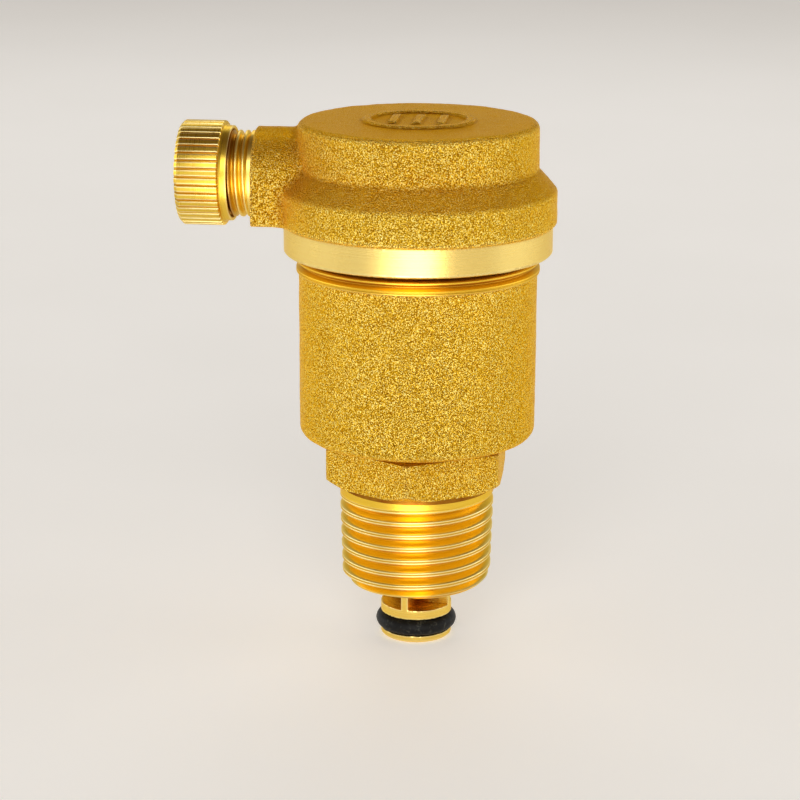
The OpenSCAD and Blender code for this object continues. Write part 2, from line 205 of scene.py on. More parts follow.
def ring_mesh(profile, theta):
    """Quads of a closed profile swept round Z. profile is (T, M, 2) of (r, z)
    at each theta, the last on the seam. Also returns each quad's row."""
    turns, size, _ = profile.shape
    x = profile[..., 0] * np.cos(theta)[:, None]
    y = profile[..., 0] * np.sin(theta)[:, None]
    vertices = np.stack([x, y, profile[..., 1]], -1).reshape(-1, 3)
    i = np.arange(turns - 1)[:, None]
    j = np.arange(size)[None]
    following = (j + 1) % size
    quads = np.stack([i * size + j, (i + 1) * size + j, (i + 1) * size + following,
                      i * size + following], -1).reshape(-1, 4)
    return vertices, quads, np.tile(np.arange(size), turns - 1)


def swept_object(name, profile, theta, material, smooth_angle, on_outlet=False):
    """A ring_mesh solid. On the outlet, z is the distance along -X."""
    vertices, quads, _ = ring_mesh(profile, theta)
    if on_outlet:
        vertices = np.stack([-vertices[:, 2], vertices[:, 1], vertices[:, 0] + OUTLET_Z], -1)
    vertices, faces, _ = weld(vertices, quads)
    return make_object(name, vertices, faces, [material], smooth_angle=smooth_angle)


# ------------------------------------------------------- dual contouring
def contour(distance, low, high, step):
    """Closed mesh of distance = 0 with sharp edges kept (dual contouring)."""
    coarse = 5                # grid steps in a block of the first pass
    pull = 0.03               # draw of each vertex towards its crossings' mean
    chunk = 400000            # points measured at once
    low, high = np.asarray(low, float), np.asarray(high, float)
    count = (np.ceil((high - low) / (step * coarse)).astype(int)) * coarse + 1
    # coarse pass: fine values only where the surface can be
    blocks = (count - 1) // coarse
    centres = [low[a] + step * coarse * (np.arange(blocks[a]) + 0.5) for a in range(3)]
    centres = np.stack(np.meshgrid(*centres, indexing="ij"), -1).reshape(-1, 3)
    block_field = distance(centres).reshape(blocks)
    near = np.abs(block_field) < step * coarse * 0.87 * 1.5 + 0.3
    owner = [np.minimum(np.arange(count[a]) // coarse, blocks[a] - 1) for a in range(3)]
    field = block_field[np.ix_(*owner)].astype(np.float32)
    active = np.zeros(count, bool)
    for block in np.argwhere(near):
        active[tuple(slice(block[a] * coarse, block[a] * coarse + coarse + 1)
                     for a in range(3))] = True
    points = low + step * np.argwhere(active)
    fine = np.empty(len(points))
    for start in range(0, len(points), chunk):
        fine[start:start + chunk] = distance(points[start:start + chunk])
    field[active] = fine
    field[field == 0] = 1e-6
    inside = field < 0
    cell_count = count - 1
    unit = np.eye(3, dtype=int)
    crossings, cells, quads = [], [], []
    for a in range(3):
        edges = np.argwhere(np.diff(inside, axis=a))
        b, c = (a + 1) % 3, (a + 2) % 3
        edges = edges[(edges[:, b] > 0) & (edges[:, b] < count[b] - 1)
                      & (edges[:, c] > 0) & (edges[:, c] < count[c] - 1)]
        ends = edges + unit[a]
        start_value = field[tuple(edges.T)].astype(float)
        value0, value1 = start_value.copy(), field[tuple(ends.T)].astype(float)
        start, end = low + step * edges, low + step * ends
        share0, share1 = np.zeros(len(edges)), np.ones(len(edges))
        for _ in range(5):
            share = share0 + (share1 - share0) * np.clip(value0 / (value0 - value1), 0.08, 0.92)
            value = distance(start + (end - start) * share[:, None])
            left = (value < 0) == (value0 < 0)
            share0, value0 = np.where(left, share, share0), np.where(left, value, value0)
            share1, value1 = np.where(left, share1, share), np.where(left, value1, value)
        share = share0 + (share1 - share0) * value0 / np.where(value0 == value1, 1,
                                                               value0 - value1)
        crossings.append(start + (end - start) * share[:, None])
        # four cells round the edge, in order round it
        quad = np.stack([
            np.ravel_multi_index((edges + i * unit[b] + j * unit[c]).T, cell_count)
            for i, j in ((-1, -1), (0, -1), (0, 0), (-1, 0))], -1)
        cells.append(quad)
        quads.append(np.where((start_value >= 0)[:, None], quad[:, ::-1], quad))
    crossings = np.concatenate(crossings)
    cells = np.concatenate(cells)
    quads = np.concatenate(quads)
    normals = np.empty_like(crossings)
    for a in range(3):
        nudge = 0.02 * unit[a]
        normals[:, a] = distance(crossings + nudge) - distance(crossings - nudge)
    normals /= np.maximum(np.linalg.norm(normals, axis=1, keepdims=True), 1e-12)
    used, cell_of = np.unique(cells.reshape(-1), return_inverse=True)
    cell_of = cell_of.reshape(-1)
    crossings = np.repeat(crossings, 4, axis=0)
    normals = np.repeat(normals, 4, axis=0)

    def per_cell(values):
        return np.bincount(cell_of, values, minlength=len(used))

    # each cell's vertex is the best meeting point of its tangent planes
    hits = per_cell(np.ones(len(cell_of)))
    mean = np.stack([per_cell(crossings[:, a]) for a in range(3)], -1) / hits[:, None]
    offset = ((crossings - mean[cell_of]) * normals).sum(1)
    matrix = np.empty((len(used), 3, 3))
    for a in range(3):
        for b in range(a, 3):
            matrix[:, a, b] = matrix[:, b, a] = per_cell(normals[:, a] * normals[:, b])
    target = np.stack([per_cell(normals[:, a] * offset) for a in range(3)], -1)
    matrix += np.eye(3) * (pull * hits)[:, None, None]
    shift = np.linalg.solve(matrix, target[..., None])[..., 0]
    cell_low = low + step * np.stack(np.unravel_index(used, cell_count), -1)
    vertices = np.clip(mean + shift, cell_low, cell_low + step)
    return vertices, np.searchsorted(used, quads)


def smooth_min(first, second, width):
    overlap = np.maximum(width - np.abs(first - second), 0) / width
    return np.minimum(first, second) - overlap * overlap * width * 0.25


def smooth_max(first, second, width):
    return -smooth_min(-first, -second, width)


def rounded_both(first, second, radius):
    """Distance to where two solids overlap, their shared edge rounded."""
    first, second = first + radius, second + radius
    return np.hypot(np.maximum(first, 0), np.maximum(second, 0)) \
        + np.minimum(np.maximum(first, second), 0) - radius


def profile_distance(corners, r_max, z_min, z_max, step=0.04, segments=6):
    """Signed distance to a closed polygon of (r, z, rounding) corners, as a
    function that looks it up in a table."""
    outline = np.array([corner[:2] for corner in corners], float)[None]
    rounded = fillet(outline, [corner[2] for corner in corners], segments)[0][0]
    r_grid = np.arange(-0.2, r_max + step, step)
    z_grid = np.arange(z_min, z_max + step, step)
    radius, height = np.meshgrid(r_grid, z_grid, indexing="ij")
    best = np.full(radius.shape, 1e9)
    inside = np.zeros(radius.shape, bool)
    for (r0, z0), (r1, z1) in zip(rounded, np.roll(rounded, -1, 0)):
        run, rise = r1 - r0, z1 - z0
        length_sq = run * run + rise * rise
        if length_sq < 1e-14:
            continue
        if not (abs(r0) < 1e-9 and abs(r1) < 1e-9):   # the axis is no wall
            share = np.clip(((radius - r0) * run + (height - z0) * rise) / length_sq, 0, 1)
            best = np.minimum(best, np.hypot(radius - r0 - share * run,
                                             height - z0 - share * rise))
        spans = (z0 > height) != (z1 > height)
        crossing = r0 + (height - z0) * run / (rise if rise else 1e-12)
        inside ^= spans & (radius < crossing)
    best = np.where(inside, -best, best)

    def look_up(r, z):
        u = np.clip((r - r_grid[0]) / step, 0, len(r_grid) - 1.001)
        v = np.clip((z - z_grid[0]) / step, 0, len(z_grid) - 1.001)
        i, j = u.astype(int), v.astype(int)
        u, v = u - i, v - j
        return ((best[i, j] * (1 - u) + best[i + 1, j] * u) * (1 - v)
                + (best[i, j + 1] * (1 - u) + best[i + 1, j + 1] * u) * v)
    return look_up


LATTICE = np.random.default_rng(20417).standard_normal((64, 64, 64)).astype(np.float32)


def lattice_noise(points, scale):
    """Smooth noise; scale is lattice cells per millimetre."""
    grid = points * scale
    cell = np.floor(grid).astype(int)
    share = grid - cell
    share = share * share * (3 - 2 * share)
    total = 0
    for a in (0, 1):
        for b in (0, 1):
            for c in (0, 1):
                weight = (share[:, 0] if a else 1 - share[:, 0]) \
                    * (share[:, 1] if b else 1 - share[:, 1]) \
                    * (share[:, 2] if c else 1 - share[:, 2])
                total = total + weight * LATTICE[
                    (cell[:, 0] + a) & 63, (cell[:, 1] + b) & 63, (cell[:, 2] + c) & 63]
    return total


def cast_relief(points, broad_shift, fine_shift):
    """Unevenness of cast walls; the shifts pick a place in the noise."""
    return 0.028 * lattice_noise(points + broad_shift, 0.55) \
        + 0.012 * lattice_noise(points + fine_shift, 1.4)


# ---------------------------------------------------------------- node trees
def set_input(tree, socket, value):
    if isinstance(value, Value):
        tree.links.new(value.socket, socket)
    else:
        socket.default_value = value


class Value:
    """An output socket; arithmetic on it adds Math nodes to its tree."""

    def __init__(self, tree, socket):
        self.tree, self.socket = tree, socket

    def math(self, operation, first, second=0.0):
        node = self.tree.nodes.new("ShaderNodeMath")
        node.operation = operation
        set_input(self.tree, node.inputs[0], first)
        set_input(self.tree, node.inputs[1], second)
        return Value(self.tree, node.outputs[0])

    def __add__(self, other):
        return self.math("ADD", self, other)

    def __radd__(self, other):
        return self.math("ADD", other, self)

    def __sub__(self, other):
        return self.math("SUBTRACT", self, other)

    def __rsub__(self, other):
        return self.math("SUBTRACT", other, self)

    def __mul__(self, other):
        return self.math("MULTIPLY", self, other)

    def __truediv__(self, other):
        return self.math("DIVIDE", self, other)

    def __abs__(self):
        return self.math("ABSOLUTE", self)

    def root(self):
        return self.math("SQRT", self)

    def at_least(self, floor):
        return self.math("MAXIMUM", self, floor)

    def clamped(self):
        """Limits the Math node just made to 0..1."""
        self.socket.node.use_clamp = True
        return self


def above(value, start, gain):
    """Mask that rises from 0 at start to 1, by gain per unit."""
    return ((value - start) * gain).clamped()


def below(value, start, gain):
    """Mask that rises from 0 at start to 1 as value falls."""
    return ((start - value) * gain).clamped()


class Shader:
    """The node tree of a material or world, with short ways to fill it."""

    def __init__(self, owner, output="ShaderNodeOutputMaterial"):
        owner.use_nodes = True
        self.owner, self.tree = owner, owner.node_tree
        self.tree.nodes.clear()
        self.output = self.tree.nodes.new(output)

    def add(self, kind, inputs=None, output=0, **settings):
        node = self.tree.nodes.new(kind)
        for key, value in settings.items():
            setattr(node, key, value)
        for key, value in (inputs or {}).items():
            set_input(self.tree, node.inputs[key], value)
        return Value(self.tree, node.outputs[output])

    def split(self, vector):
        """The x, y and z of a vector."""
        node = self.add("ShaderNodeSeparateXYZ", {0: vector}).socket.node
        return [Value(self.tree, socket) for socket in node.outputs]

    def ramp(self, value, *stops):
        """Colours from (position, colour) stops."""
        node = self.tree.nodes.new("ShaderNodeValToRGB")
        elements = node.color_ramp.elements
        while len(elements) < len(stops):
            elements.new(0.5)
        for element, (position, color) in zip(elements, stops):
            element.position = position
            element.color = (*color, 1)
        set_input(self.tree, node.inputs[0], value)
        return Value(self.tree, node.outputs[0])

    def blend(self, base, color, share):
        return self.add("ShaderNodeMix", {0: share, 6: base, 7: (*color, 1)}, output=2,
                        data_type="RGBA")

    def coords(self):
        """Object coordinates in millimetres."""
        place = self.add("ShaderNodeTexCoord", output="Object")
        return self.add("ShaderNodeVectorMath", {0: place, "Scale": 1000.0},
                        operation="SCALE")

    def noise(self, vector, scale, detail=2.0, rough=0.5, distortion=0.0):
        return self.add("ShaderNodeTexNoise",
                        {"Vector": vector, "Scale": scale, "Detail": detail,
                         "Roughness": rough, "Distortion": distortion}, output="Fac")

    def bump(self, height, strength, distance):
        """Relief; distance is in metres."""
        return self.add("ShaderNodeBump", {"Strength": strength, "Distance": distance,
                                           "Height": height})

    def wear(self):
        return self.add("ShaderNodeAttribute", output="Fac", attribute_name="wear")

    def finish(self, surface):
        set_input(self.tree, self.output.inputs[0], surface)
        return self.owner

    def principled(self, **inputs):
        return self.finish(self.add("ShaderNodeBsdfPrincipled", inputs))


def new_shader(name):
    return Shader(bpy.data.materials.new(name))


# ---------------------------------------------------------------- materials
def cast_brass():
    mat = new_shader("cast_brass")
    place = mat.coords()
    worms = mat.noise(place, scale=6.0, detail=1.0, rough=0.5, distortion=0.4)
    fine = mat.noise(place, scale=11.0, detail=1.0, rough=0.5)
    ridge = (1.0 - abs(worms - 0.5) * 5.0).clamped()      # lines where worms is near 0.5
    height = worms * 1.5 + (ridge * 0.22 + fine * 0.35)
    broad = mat.noise(place, scale=0.16, detail=3.0, rough=0.6)
    patch = mat.noise(place, scale=0.55, detail=3.0, rough=0.6)
    pits = mat.noise(place, scale=1.1, detail=4.0, rough=0.7) - 0.70
    pits = (pits.at_least(0.0) * 8.0).clamped()
    bump = mat.bump(height, strength=1.0, distance=0.00036)
    color = mat.ramp(worms, (0.33, (0.54, 0.215, 0.004)), (0.44, (0.82, 0.405, 0.009)),
                     (0.55, (0.96, 0.590, 0.022)), (0.66, (1.0, 0.88, 0.30)))
    color = mat.blend(color, color=(0.74, 0.41, 0.03), share=broad * 0.22) \
        if False else mat.blend(color, (0.74, 0.41, 0.03), share=broad * 0.22)
    color = mat.blend(color, (0.95, 0.62, 0.05), share=patch * 0.12)
    color = mat.blend(color, (0.42, 0.19, 0.02), share=pits)
    wear = mat.wear()
    edge = (above(wear, start=0.30, gain=1.4) * (0.4 + patch)).clamped()
    color = mat.blend(color, (1.0, 0.80, 0.26), share=edge * 0.28)
    dirt = below(wear, start=-0.10, gain=2.2)
    color = mat.blend(color, (0.46, 0.20, 0.012), share=dirt * 0.6)
    # painted shade: upward faces are painted a little darker than the walls, standing in for the
    # dim light from overhead
    facing = mat.split(mat.add("ShaderNodeNewGeometry", output="True Normal"))
    upward = above(facing[2], start=0.22, gain=2.2)
    color = mat.blend(color, (0.50, 0.21, 0.008), share=upward * 0.50)
    # grain roughens the metal, worn edges are smoother
    rough = 0.23 + fine * 0.18 - edge * 0.08
    return mat.principled(**{"Base Color": color, "Metallic": 1.0, "Roughness": rough,
                             "Specular Tint": (0.96, 0.74, 0.34, 1.0), "Normal": bump})


def turned_brass(name="turned_brass", axis="Z", base_rough=0.17,
                 tint=((0.91, 0.60, 0.09), (0.97, 0.71, 0.17)),
                 worn=(1.0, 0.84, 0.40), worn_share=0.55, worn_start=0.30, painted_shade=None):
    """Machined brass: fine turning rings round its axis, and faint wear.
    The last argument, a function of (along, radius), gives the share of painted shade at a place,
    a dark orange-brown standing in for shadow."""
    mat = new_shader(name)
    place = mat.coords()
    x, y, z = mat.split(place)
    if axis == "Z":
        along, side, other_side = z, x, y
    else:
        along, side, other_side = x, y, z - OUTLET_Z
    radius = (side * side + other_side * other_side).root()
    stretch = 1.0             # of the ring pattern, along the axis and outwards
    rings = mat.add("ShaderNodeCombineXYZ", {0: along * stretch, 1: radius * stretch, 2: 0.0})
    lines = mat.noise(rings, scale=9.0, detail=3.0, rough=0.75)
    wide = mat.noise(rings, scale=1.6, detail=2.0, rough=0.5)
    blot = mat.noise(place, scale=0.35, detail=3.0, rough=0.55)
    grain = mat.noise(place, scale=14.0, detail=2.0, rough=0.6)
    scratches = mat.noise(place, scale=1.9, detail=5.0, rough=0.7, distortion=0.6)
    height = lines * 1.0 + (wide * 0.6 + grain * 0.25)
    bump = mat.bump(height, strength=0.55, distance=0.000012)
    color = mat.ramp(lines, (0.30, tint[0]), (0.66, tint[1]))
    color = mat.blend(color, (0.93, 0.64, 0.12), share=blot * 0.25)
    tarnish = above(scratches, start=0.62, gain=4.0)
    color = mat.blend(color, (0.74, 0.43, 0.06), share=tarnish * 0.30)
    wear = mat.wear()
    edge = (above(wear, start=worn_start, gain=0.9) * (0.35 + blot)).clamped()
    color = mat.blend(color, worn, share=edge * worn_share)
    dirt = below(wear, start=-0.30, gain=0.9)
    color = mat.blend(color, (0.60, 0.30, 0.02), share=dirt * 0.5)
    if painted_shade:
        # painted shade: the masked places are darkened to a dark orange-brown in place of shadow
        dark = (painted_shade(along, radius) * (0.55 + blot * 0.7)).clamped()
        color = mat.blend(color, (0.30, 0.10, 0.010), share=dark)
    # rings and blots roughen the metal
    rough = base_rough + lines * 0.13 + blot * 0.06
    tangent = mat.add("ShaderNodeTangent", direction_type="RADIAL", axis=axis)
    return mat.principled(**{"Base Color": color, "Metallic": 1.0, "Roughness": rough,
                             "Specular Tint": (1.0, 0.86, 0.55, 1.0), "Anisotropic": 0.35,
                             "Tangent": tangent, "Normal": bump})


def mouth_shadow(along, radius):
    """Painted shadow that the cap's mouth casts on the spigot's thread next to it."""
    return below(along, start=-23.9, gain=1.1) * ((along + 26.1) * 1.3).clamped()


def window_shade(along, radius):
    """Painted shade inside the plunger's windows."""
    return below(radius, start=4.2, gain=0.35) * ((along + 19.0) * 4.0).clamped()


def neck_groove_shade(along, radius):
    """Painted shade and painted orange reflection in the grooves of the chamber's neck, under the
    bonnet's band.
    """
    return below(radius, start=16.24, gain=1.0)


def rubber(name, dark, light, dust=0.0):
    mat = new_shader(name)
    place = mat.coords()
    mottle = mat.noise(place, scale=3.0, detail=4.0, rough=0.6)
    grain = mat.noise(place, scale=16.0, detail=2.0, rough=0.5)
    smear = mat.noise(place, scale=0.8, detail=3.0, rough=0.6, distortion=1.0)
    bump = mat.bump(mottle + grain * 0.5, strength=0.5, distance=0.00002)
    color = mat.ramp(mottle * 0.6 + smear * 0.4, (0.35, dark), (0.7, light))
    if dust:
        specks = mat.noise(place, scale=1.3, detail=5.0, rough=0.72, distortion=0.4)
        specks = above(specks, start=0.55, gain=6.0)
        color = mat.blend(color, (0.10, 0.10, 0.075), share=specks * dust)
    rough = 0.34 + smear * 0.28       # smears are duller
    return mat.principled(**{"Base Color": color, "Roughness": rough,
                             "Specular IOR Level": 0.16, "Normal": bump})


def steel():
    mat = new_shader("stainless")
    place = mat.coords()
    stretched = mat.add("ShaderNodeVectorMath", {0: place, 1: (1.0, 12.0, 12.0)},
                        operation="MULTIPLY")
    lines = mat.noise(stretched, scale=1.3, detail=4.0, rough=0.65)
    blot = mat.noise(place, scale=0.7, detail=3.0, rough=0.6)
    bump = mat.bump(lines, strength=0.4, distance=0.00001)
    color = mat.ramp(lines, (0.3, (0.50, 0.50, 0.49)), (0.7, (0.68, 0.68, 0.66)))
    color = mat.blend(color, (0.46, 0.44, 0.40), share=blot * 0.2)
    rough = 0.18 + lines * 0.2        # drawn lines are duller
    return mat.principled(**{"Base Color": color, "Metallic": 1.0, "Roughness": rough,
                             "Normal": bump})


def moulded(name, dark, light):
    mat = new_shader(name)
    place = mat.coords()
    grain = mat.noise(place, scale=9.0, detail=3.0, rough=0.6)
    flow = mat.noise(place, scale=0.25, detail=3.0, rough=0.6, distortion=1.2)
    bump = mat.bump(grain, strength=0.35, distance=0.00002)
    color = mat.ramp(flow, (0.3, dark), (0.7, light))
    color = mat.blend(color, (0.5, 0.45, 0.35), share=grain * 0.08)
    rough = 0.35 + grain * 0.15       # the grain dulls the surface
    return mat.principled(**{"Base Color": color, "Roughness": rough,
                             "Subsurface Weight": 0.08, "Subsurface Scale": 0.001,
                             "Normal": bump})


M_CAST = cast_brass()
M_TURNED = turned_brass()
M_OUTLET = turned_brass("turned_brass_outlet", axis="X")
M_THREAD = turned_brass("thread_brass", base_rough=0.20,
                        tint=((0.88, 0.53, 0.028), (0.95, 0.63, 0.06)),
                        worn=(1.0, 0.90, 0.46), worn_share=0.75, worn_start=0.9)
M_SPIGOT = turned_brass("spigot_brass", axis="X", base_rough=0.2,
                        tint=((0.86, 0.53, 0.040), (0.94, 0.64, 0.09)),
                        worn=(1.0, 0.88, 0.46), worn_share=0.45, worn_start=0.9,
                        painted_shade=mouth_shadow)
M_CAP = turned_brass("cap_brass", axis="X", base_rough=0.19,
                     tint=((0.73, 0.445, 0.028), (0.84, 0.575, 0.070)),
                     worn=(1.0, 0.90, 0.50), worn_share=0.75, worn_start=0.8)
M_BAND = turned_brass("band_brass", tint=((0.88, 0.64, 0.16), (0.94, 0.73, 0.27)))
# neck_brass is a darker, more orange copy of the turned brass: painted shade, and on the neck
# under the bonnet's band a painted orange reflection of the band's underside
M_NECK = turned_brass("neck_brass", base_rough=0.22,
                      tint=((0.80, 0.46, 0.018), (0.88, 0.54, 0.040)),
                      worn=(1.0, 0.90, 0.50), worn_share=0.8, worn_start=0.6,
                      painted_shade=neck_groove_shade)
M_CAGE = turned_brass("cage_brass", painted_shade=window_shade)
M_BLACK = rubber("black_rubber", dark=(0.004, 0.004, 0.004), light=(0.012, 0.012, 0.011),
                 dust=0.75)
M_GREY = rubber("grey_rubber", dark=(0.10, 0.10, 0.10), light=(0.17, 0.17, 0.165))
M_STEEL = steel()
M_LEVER = moulded("lever_plastic", dark=(0.60, 0.53, 0.36), light=(0.70, 0.64, 0.47))
M_FLOAT = moulded("float_plastic", dark=(0.74, 0.72, 0.64), light=(0.84, 0.82, 0.75))


# ------------------------------------------------------------- the chamber
def hex_radius(theta, apothem, rounding):
    """Polar radius of a hexagon with rounded corners; flats face +-X."""
    sixth = math.pi / 6
    from_flat = np.abs((theta + sixth) % (math.pi / 3) - sixth)
    to_centre = (apothem - rounding) / math.cos(sixth)
    from_corner = sixth - from_flat
    flat = apothem / np.cos(from_flat)
    square = rounding ** 2 - (to_centre * np.sin(from_corner)) ** 2
    corner = to_centre * np.cos(from_corner) + np.sqrt(np.maximum(square, 0))
    return np.where(from_flat < math.atan2(to_centre * math.sin(sixth), apothem), flat, corner)


def thread_rows(theta, first_z, pitch, turns, z_low, z_high, blank, depth, crest_width,
                flank, fade, lip=0.0, root_width=0.12):
    """(T, M, 2) rows of a helical thread cut in the blank radius blank(z).
    Rows run from low to high z, clamped to z_low and z_high. fade(z) scales
    the cut's depth, and lip sinks the middle of the crest."""
    half = crest_width / 2
    # crest points: z from the crest's centre, depth below the blank
    if lip > 0:
        crest = [(-half - 0.10, 0.055), (-half - 0.035, 0.012), (-half + 0.03, 0.0),
                 (-half + 0.10, 0.030), (-half * 0.35, lip), (half * 0.35, lip),
                 (half - 0.10, 0.030), (half - 0.03, 0.0), (half + 0.035, 0.012),
                 (half + 0.10, 0.055)]
    else:
        crest = [(-half - 0.05, 0.03), (-half + 0.01, 0.0), (half - 0.01, 0.0),
                 (half + 0.05, 0.03)]
    edge_z, edge_depth = crest[-1]
    # where the flank meets the root
    root_z = min(edge_z + (depth - edge_depth) * math.tan(flank), pitch / 2 - root_width / 2)
    lower = [(-root_z - 0.02, depth), (-root_z, depth * 0.985),
             (-(root_z + edge_z) / 2, (depth + edge_depth) / 2)]
    upper = [(-z, cut) for z, cut in reversed(lower)]
    rows = np.array([(first_z + k * pitch + z, cut)
                     for k in turns for z, cut in lower + crest + upper])
    height = rows[None, :, 0] + pitch * theta[:, None] / TAU
    radius = blank(height) - rows[None, :, 1] * fade(height)
    for i in range(len(theta)):   # rows past an end meet in its corner
        rising, cut_radius = np.maximum.accumulate(height[i]), radius[i].copy()
        r_low, r_high = np.interp([z_low, z_high], rising, cut_radius)
        radius[i] = np.where(rising < z_low, r_low, np.where(rising > z_high, r_high, cut_radius))
        height[i] = np.clip(rising, z_low, z_high)
    return np.stack([radius, height], -1)


CAST, NECK, THREAD = 0, 1, 2      # material slots of the chamber


def inlet_thread(theta, z_high):
    def blank(z):
        crest = THREAD_R + (z - STUB_END - THREAD_R_HEIGHT) / THREAD_TAPER
        return np.minimum(np.minimum(crest, STUB_R), 9.22 + (z - STUB_END) * 0.98)

    return thread_rows(theta, first_z=-3.35, pitch=THREAD_PITCH, turns=range(-8, 2),
                       z_low=STUB_END, z_high=z_high, blank=blank, depth=1.12,
                       crest_width=0.40, flank=math.radians(27.5), lip=0.085,
                       fade=lambda z: np.clip((-1.55 - z) / 1.9, 0, 1) ** 0.8)


def chamber_corners(theta, thread_top):
    """The chamber's section above the thread, up its outside and back down
    its bore: (radius, z, rounding, segments, material)."""
    hexagon = hex_radius(theta, apothem=11.7, rounding=0.9)
    lower_face, upper_face = 12.15, 13.1        # radii of the hexagon's end faces
    lower_z = np.maximum((hexagon - lower_face) * 0.95 / 1.35, 0.0)
    upper_z = HEX_TOP - np.maximum(hexagon - upper_face, 0.0) * 0.25 / 0.4
    gap = 0.02                                  # keeps neighbouring corners apart
    outside = [
        (STUB_R, thread_top, 0, 0, NECK),
        (STUB_R, 0.02, 0.12, 3, CAST),
        (np.minimum(hexagon, lower_face), 0.0, 0.22, 3, CAST),
        (hexagon, lower_z + gap, 0.25, 3, CAST),
        (hexagon, np.maximum(upper_z, lower_z + 1) - gap, 0.22, 3, CAST),
        (np.minimum(hexagon, upper_face) - gap, HEX_TOP, 0.22, 3, CAST),
        (11.0, HEX_TOP, 0.35, 4, CAST),
        (11.0, CHAMBER_BOTTOM, 0.35, 4, CAST),
        (CHAMBER_R, CHAMBER_BOTTOM, 1.1, 9, CAST),
        # neck: a turned bead, then two grooves
        (CHAMBER_R, 28.90, 0.03, 2, NECK), (15.86, 28.94, 0.03, 2, NECK),
        (16.32, 29.00, 0.05, 3, NECK), (16.36, 29.16, 0.05, 3, NECK),
        (16.26, 29.28, 0.08, 3, NECK), (16.34, 29.42, 0.05, 3, NECK),
        (16.32, 29.56, 0.05, 3, NECK), (15.66, 29.94, 0.10, 3, NECK),
        (15.70, 30.10, 0.10, 3, NECK), (16.26, 30.42, 0.05, 3, NECK),
        (16.26, 30.62, 0.05, 3, NECK), (15.66, 30.98, 0.10, 3, NECK),
        (15.2, 31.3, 0.1, 3, NECK), (15.2, 31.9, 0.1, 3, NECK)]
    # four ridges, 1 mm apart, inside the bonnet's band
    ridges = [(radius, 32.6 + k + z, rounding, 2, NECK) for k in range(4)
              for radius, z, rounding in ((14.9, -0.43, 0.04), (15.5, -0.12, 0.05),
                                          (15.5, 0.12, 0.05), (14.9, 0.43, 0.04))]
    inside = [
        (14.6, 36.2, 0.08, 3, NECK), (CHAMBER_BORE_R, 36.2, 0.15, 3, NECK),
        (CHAMBER_BORE_R, 8.2, 0.8, 5, NECK), (3.9, 8.2, 0.25, 3, NECK),
        (3.9, SPRING_SEAT_Z, 0.15, 3, NECK), (6.3, SPRING_SEAT_Z, 0.3, 3, NECK),
        (6.3, -4.8, 0.1, 2, NECK), (7.4, -4.8, 0.1, 2, NECK),
        (7.4, STUB_END + 0.45, 0.1, 2, NECK), (7.85, STUB_END, 0.08, 3, NECK)]
    return outside + ridges + inside


def divide_walls(profile, materials, first_row):
    """Puts rows between the ends of long walls from first_row on."""
    rows, row_materials = [], []
    count = profile.shape[1]
    for j in range(count):
        start, end = profile[:, j], profile[:, (j + 1) % count]
        length = np.linalg.norm(end - start, axis=1).max()
        step = 0.3 if materials[j] == CAST else 3.0
        extra = int(length / step) if j >= first_row else 0
        rows.append(start[:, None])
        for i in range(1, extra + 1):
            rows.append((start + (end - start) * i / (extra + 1))[:, None])
        row_materials += [materials[j]] * (extra + 1)
    return np.concatenate(rows, 1), np.array(row_materials)


def chamber():
    thread_top = -1.0
    theta = np.radians(np.arange(0, 360.001, 0.5))
    thread = inlet_thread(theta, thread_top)
    corners = chamber_corners(theta, thread_top)
    profile, source = join_thread(thread, columns(corners, len(theta)),
                                  [corner[2] for corner in corners],
                                  [corner[3] for corner in corners] + [0, 0])
    thread_count = thread.shape[1]
    materials = [THREAD] * thread_count + [corners[k][4] for k in source]
    profile, materials = divide_walls(profile, materials, thread_count)
    vertices, quads, rows = ring_mesh(profile, theta)
    # a little unevenness on the cast walls, none on the machined ones
    height = vertices[:, 2]
    weight = np.clip((height - 0.15) / 0.5, 0, 1) * np.clip((28.7 - height) / 0.5, 0, 1) \
        * (np.tile(materials, len(theta)) == CAST)
    radius = np.hypot(vertices[:, 0], vertices[:, 1])
    push = (weight * cast_relief(vertices, broad_shift=31.0, fine_shift=0.0))[:, None]
    vertices[:, :2] += push * vertices[:, :2] / np.maximum(radius, 1)[:, None]
    vertices, faces, kept = weld(vertices, quads)
    return make_object("chamber_casting", vertices, faces, [M_CAST, M_NECK, M_THREAD],
                       materials[rows[kept]], smooth_angle=36)


# -------------------------------------------------------------- the bonnet
# sections as (radius, z, rounding)
BONNET_OUTSIDE = [
    (0, BONNET_BASE, 0), (18.20, BONNET_BASE, 0), (BONNET_R, 35.74, 0.15),
    (BONNET_R, 39.95, 1.25), (16.02, 42.72, 1.1), (15.95, BONNET_TOP, 0.85),
    (0, BONNET_TOP, 0)]
BONNET_BAND = [
    (0, 31.6, 0), (17.80, 31.6, 0.05), (18.0, 31.82, 0.08), (18.0, 35.43, 0),
    (17.0, 35.6, 0), (0, 35.6, 0)]
BONNET_BORE = [
    (0, 30.0, 0), (16.0, 30.0, 0), (16.0, 31.55, 0), (15.6, 31.95, 0), (15.6, 38.2, 0.3),
    (13.6, 38.2, 0.1), (13.6, 46.2, 0.8), (0, 46.2, 0)]


def boss_distance(x, y, z):
    """The arched boss round the outlet."""
    arch_z = OUTLET_Z - 0.4
    top = np.hypot(y, z - arch_z) - BOSS_R
    bottom = rounded_both(np.abs(y) - BOSS_R, BONNET_BASE - z, radius=0.5)
    arch = np.where(z > arch_z, top, bottom)
    return np.maximum(rounded_both(-BOSS_X - x, arch, radius=0.16), x + 9.0)


